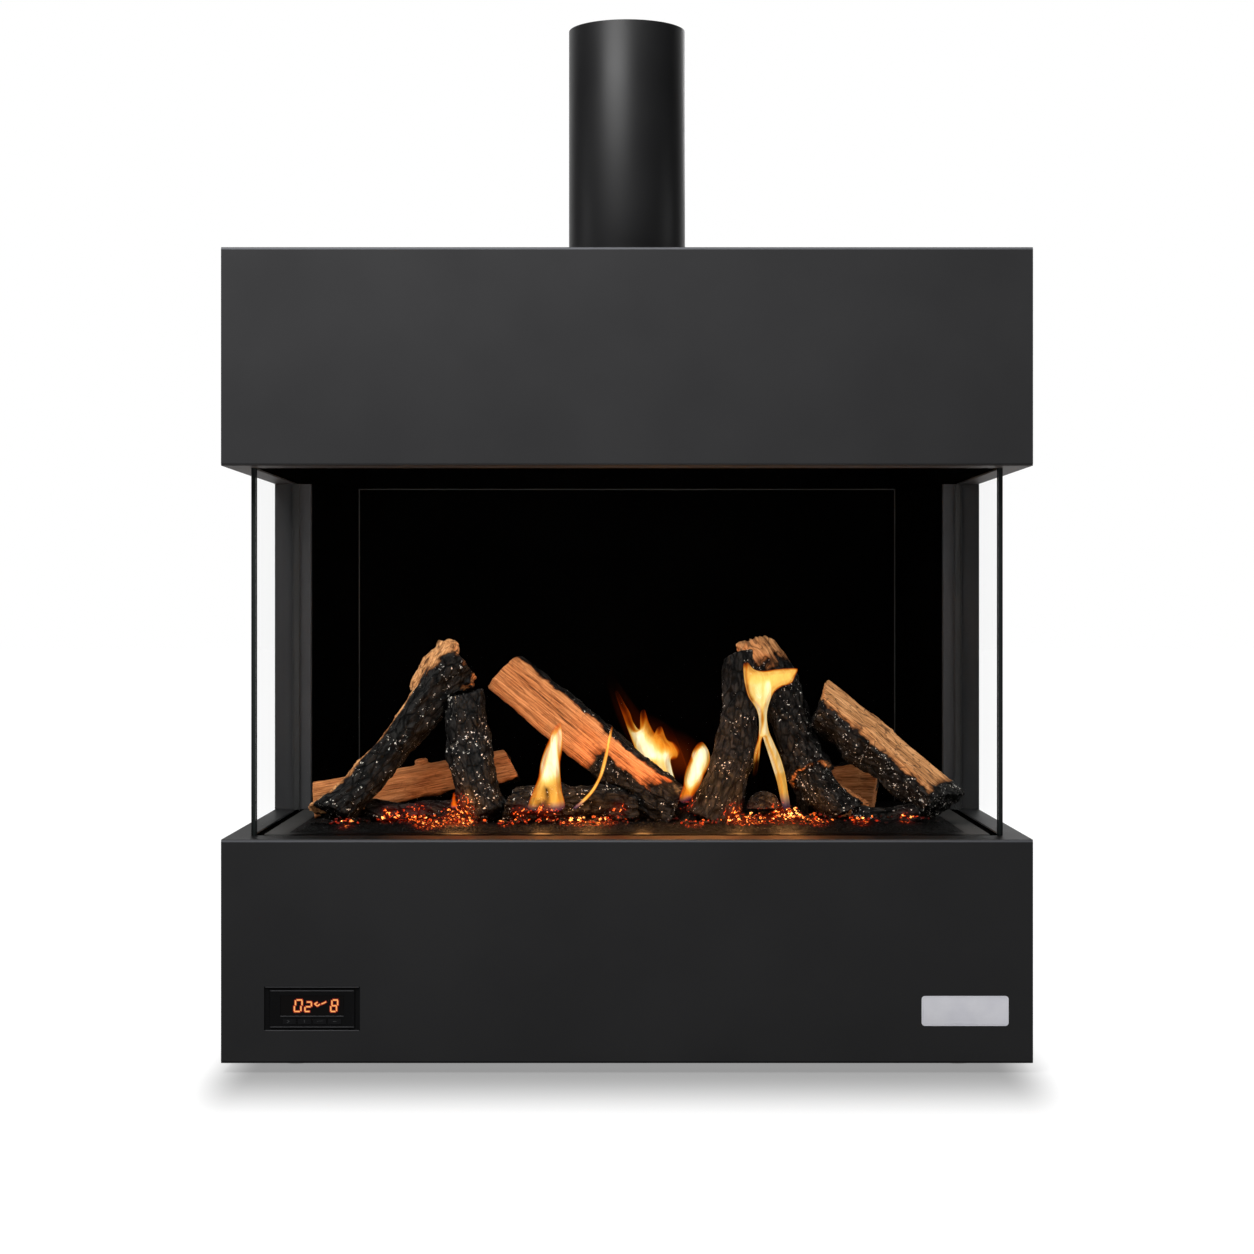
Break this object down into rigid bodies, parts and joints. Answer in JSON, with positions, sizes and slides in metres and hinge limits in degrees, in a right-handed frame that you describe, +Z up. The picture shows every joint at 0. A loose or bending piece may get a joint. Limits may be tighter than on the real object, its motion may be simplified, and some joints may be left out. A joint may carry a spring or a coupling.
{
  "type": "three-sided gas fireplace",
  "caption": "Free-standing gas fire with glass on three sides, ceramic logs on a pan burner, a folded steel base and hood, and a balanced flue on top.",
  "frame": {"origin": "middle of the casing's footprint, on the floor under the levelling feet", "axes": "+Z up, +X to the right seen from the front, +Y towards the back"},
  "size_m": [0.965, 0.61, 1.298],
  "materials": {
    "casing_paint": "matt dark grey high-temperature paint on folded sheet",
    "chamber_black": "matt black enamel on sheet",
    "galvanised": "galvanised sheet",
    "glass": "clear ceramic glass",
    "seal": "black glass-fibre rope",
    "stainless": "stainless sheet and tube",
    "zinc": "zinc-plated steel",
    "embers": "loose vermiculite and glowing ember fibre",
    "charred_log": "moulded ceramic fibre, painted as charred bark",
    "split_log": "moulded ceramic fibre, painted as split wood",
    "display_black": "black moulding",
    "key_black": "black keys",
    "screen": "dark window",
    "plate": "plain silver plate",
    "brass": "machined brass",
    "die_cast": "die-cast housing"
  },
  "bodies": {
    "casing": {"base_casing": "casing_paint", "hood_casing": "casing_paint", "back_panel": "casing_paint", "hood_top": "casing_paint", "wing_left": "casing_paint", "wing_right": "casing_paint", "flue_collar": "casing_paint", "flue_outer": "casing_paint", "firebox_back": "chamber_black", "firebox_liner_left": "chamber_black", "firebox_liner_right": "chamber_black", "firebox_ceiling": "chamber_black", "lower_glass_channel": "chamber_black", "upper_glass_channel": "chamber_black", "burner_tray": "chamber_black", "base_floor": "galvanised", "glass_left": "glass", "glass_right": "glass", "glass_seal_left": "seal", "glass_seal_right": "seal", "burner": "stainless", "mixing_tube": "stainless", "pilot": "stainless", "flue_inner": "stainless", "flue_spacer": "stainless", "supply_pipe": "zinc", "burner_pipe": "zinc", "ember_bed": "embers", "log_left_bed": "charred_log", "log_centre_bed": "charred_log", "log_right_bed": "charred_log", "log_left_prop": "charred_log", "log_left_leaning": "charred_log", "log_right_crossed": "charred_log", "log_right_upright": "charred_log", "log_far_right": "charred_log", "log_left_back": "split_log", "log_right_back": "split_log", "log_centre_split": "split_log", "display_bezel": "display_black", "display_module": "display_black", "receiver_box": "display_black", "display_screen": "screen", "badge_plate": "plate", "gas_cock": "brass", "gas_valve": "die_cast"},
    "front_glass": {"glass_front": "glass"},
    "air_shutter": {"air_shutter": "zinc"},
    "relief_flap_left": {"relief_flap_left": "galvanised"},
    "relief_flap_right": {"relief_flap_right": "galvanised"},
    "valve_knob": {"valve_knob": "display_black"},
    "cock_lever": {"cock_lever": "zinc"},
    "display_key_1": {"display_key_1": "key_black"},
    "display_key_2": {"display_key_2": "key_black"},
    "display_key_3": {"display_key_3": "key_black"},
    "display_key_4": {"display_key_4": "key_black"},
    "foot_left_front": {"foot_left_front": "zinc"},
    "foot_left_rear": {"foot_left_rear": "zinc"},
    "foot_right_front": {"foot_right_front": "zinc"},
    "foot_right_rear": {"foot_right_rear": "zinc"}
  },
  "joints": [
    {"name": "front_glass_lift", "type": "slide", "parent": "casing", "child": "front_glass", "axis": [0, 0, 1], "range_m": [0, 0.012]},
    {"name": "air_shutter_turn", "type": "hinge", "parent": "casing", "child": "air_shutter", "pos_m": [-0.008, -0.01522, 0.19], "axis": [1, 0, 0], "range_deg": [0, 60]},
    {"name": "relief_flap_left_lift", "type": "hinge", "parent": "casing", "child": "relief_flap_left", "pos_m": [-0.25, 0.01, 0.7848], "axis": [-1, 0, 0], "range_deg": [0, 55]},
    {"name": "relief_flap_right_lift", "type": "hinge", "parent": "casing", "child": "relief_flap_right", "pos_m": [0.25, 0.01, 0.7848], "axis": [-1, 0, 0], "range_deg": [0, 55]},
    {"name": "valve_knob_turn", "type": "hinge", "parent": "casing", "child": "valve_knob", "pos_m": [0.17, -0.04652, 0.0666], "axis": [0, 1, 0], "range_deg": [0, 90]},
    {"name": "cock_lever_turn", "type": "hinge", "parent": "casing", "child": "cock_lever", "pos_m": [0.33, 0.27, 0.1273], "axis": [0, 0, 1], "range_deg": [-90, 0]},
    {"name": "display_key_1_press", "type": "slide", "parent": "casing", "child": "display_key_1", "axis": [0, 1, 0], "range_m": [0, 0.001], "stiffness_N_per_m": 250},
    {"name": "display_key_2_press", "type": "slide", "parent": "casing", "child": "display_key_2", "axis": [0, 1, 0], "range_m": [0, 0.001], "stiffness_N_per_m": 250},
    {"name": "display_key_3_press", "type": "slide", "parent": "casing", "child": "display_key_3", "axis": [0, 1, 0], "range_m": [0, 0.001], "stiffness_N_per_m": 250},
    {"name": "display_key_4_press", "type": "slide", "parent": "casing", "child": "display_key_4", "axis": [0, 1, 0], "range_m": [0, 0.001], "stiffness_N_per_m": 250},
    {"name": "foot_left_front_turn", "type": "hinge", "parent": "casing", "child": "foot_left_front", "pos_m": [-0.4025, -0.22, 0], "axis": [0, 0, 1], "range_deg": [-180, 180]},
    {"name": "foot_left_rear_turn", "type": "hinge", "parent": "casing", "child": "foot_left_rear", "pos_m": [-0.4025, 0.22, 0], "axis": [0, 0, 1], "range_deg": [-180, 180]},
    {"name": "foot_right_front_turn", "type": "hinge", "parent": "casing", "child": "foot_right_front", "pos_m": [0.4025, -0.22, 0], "axis": [0, 0, 1], "range_deg": [-180, 180]},
    {"name": "foot_right_rear_turn", "type": "hinge", "parent": "casing", "child": "foot_right_rear", "pos_m": [0.4025, 0.22, 0], "axis": [0, 0, 1], "range_deg": [-180, 180]}
  ]
}
